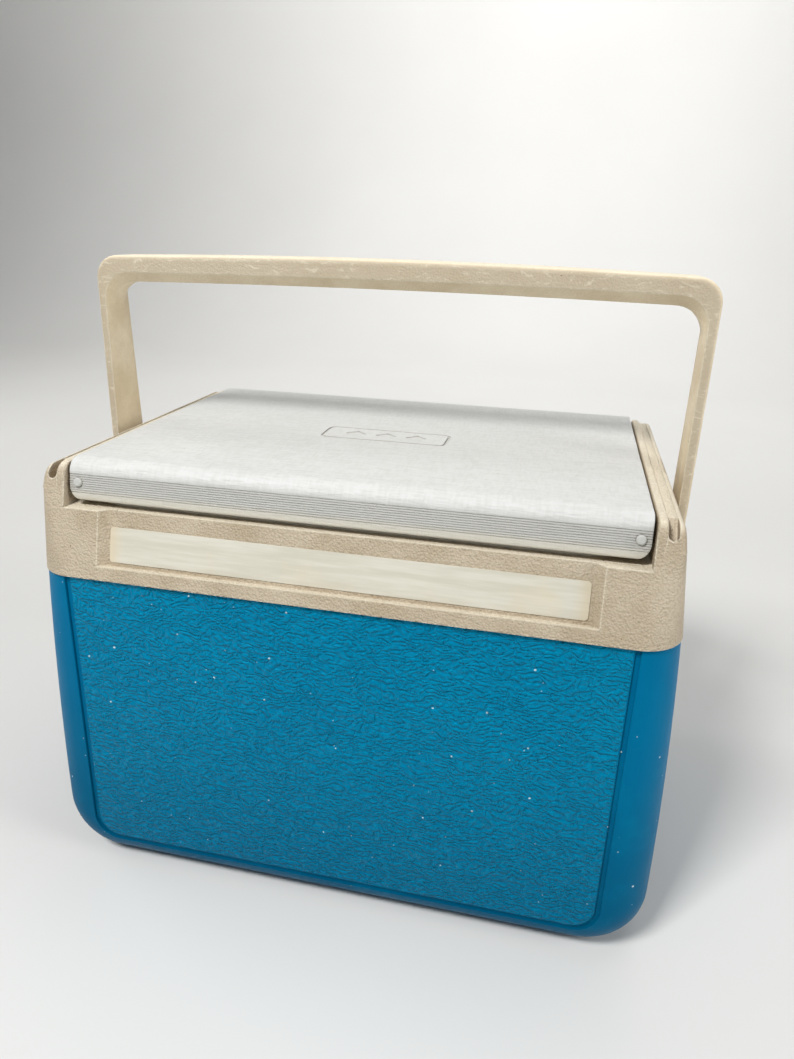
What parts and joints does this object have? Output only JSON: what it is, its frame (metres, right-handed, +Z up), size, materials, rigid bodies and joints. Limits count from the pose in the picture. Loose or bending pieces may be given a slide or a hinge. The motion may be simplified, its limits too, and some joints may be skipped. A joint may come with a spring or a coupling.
{
  "type": "personal cooler",
  "caption": "Small rectangular hard cooler with a moulded body, a raised collar with cheeks, a flat rear-hinged lid and a swinging bail handle.",
  "frame": {"origin": "centre of the base, on the surface it stands on", "axes": "+Z up, +X to the right seen from the front, +Y from the front to the back; the front faces -Y"},
  "size_m": [0.2858, 0.1896, 0.286],
  "materials": {
    "teal_plastic": "satin",
    "foam": "matte",
    "liner_plastic": "satin",
    "cream_plastic": "matte",
    "label": "matte",
    "lid_plastic": "satin",
    "handle_plastic": "satin"
  },
  "bodies": {
    "chest": {"outer_shell": "teal_plastic", "body_foam": "foam", "inner_liner": "liner_plastic", "collar": "cream_plastic", "front_label": "label", "fill_plug": "liner_plastic", "hinge_pins": "cream_plastic", "handle_pins": "handle_plastic"},
    "lid": {"lid_cover": "lid_plastic", "lid_tray": "lid_plastic", "lid_foam": "foam", "lid_studs": "lid_plastic"},
    "bail": {"handle": "handle_plastic"}
  },
  "joints": [
    {"name": "lid_hinge", "type": "hinge", "parent": "chest", "child": "lid", "pos_m": [0, 0.0795, 0.1943], "axis": [-1, 0, 0], "range_deg": [0, 36]},
    {"name": "handle_pivot", "type": "hinge", "parent": "chest", "child": "bail", "pos_m": [0, 0, 0.174], "axis": [1, 0, 0], "range_deg": [-90, 90]}
  ]
}
